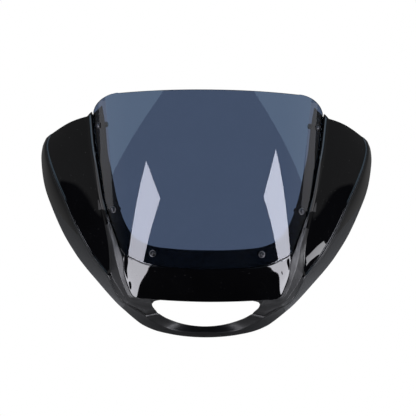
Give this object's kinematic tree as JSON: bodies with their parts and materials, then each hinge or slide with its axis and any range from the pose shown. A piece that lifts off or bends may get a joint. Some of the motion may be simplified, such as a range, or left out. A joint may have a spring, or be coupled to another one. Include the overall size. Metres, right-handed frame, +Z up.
{
  "type": "motorcycle headlight fairing",
  "caption": "Gloss moulded motorcycle fairing with side wings, a headlight opening and a smoke windscreen held by screws in rubber well nuts.",
  "frame": {"origin": "midway between the rear ends of the two upper fork bracket bosses", "axes": "+X to the right as seen from in front of the face, which points to -Y; +Z up, leaned back as on the motorcycle"},
  "size_m": [0.5802, 0.2878, 0.4457],
  "materials": {
    "shell_plastic": "gloss moulded black",
    "smoke_screen": "polished smoke-tinted sheet",
    "screw_steel": "black oxide",
    "washer_steel": "black zinc",
    "nut_rubber": "moulded rubber",
    "insert_brass": "turned brass"
  },
  "bodies": {
    "root": {"fairing_shell": "shell_plastic", "windscreen": "smoke_screen", "screw_upper_right": "screw_steel", "washer_upper_right": "washer_steel", "well_nut_upper_right": "nut_rubber", "nut_insert_upper_right": "insert_brass", "screw_upper_left": "screw_steel", "washer_upper_left": "washer_steel", "well_nut_upper_left": "nut_rubber", "nut_insert_upper_left": "insert_brass", "screw_mid_right": "screw_steel", "washer_mid_right": "washer_steel", "well_nut_mid_right": "nut_rubber", "nut_insert_mid_right": "insert_brass", "screw_mid_left": "screw_steel", "washer_mid_left": "washer_steel", "well_nut_mid_left": "nut_rubber", "nut_insert_mid_left": "insert_brass", "screw_lower_right": "screw_steel", "washer_lower_right": "washer_steel", "well_nut_lower_right": "nut_rubber", "nut_insert_lower_right": "insert_brass", "screw_lower_left": "screw_steel", "washer_lower_left": "washer_steel", "well_nut_lower_left": "nut_rubber", "nut_insert_lower_left": "insert_brass", "bracket_insert_upper_right": "insert_brass", "bracket_insert_upper_left": "insert_brass", "bracket_insert_lower_right": "insert_brass", "bracket_insert_lower_left": "insert_brass"}
  },
  "joints": []
}
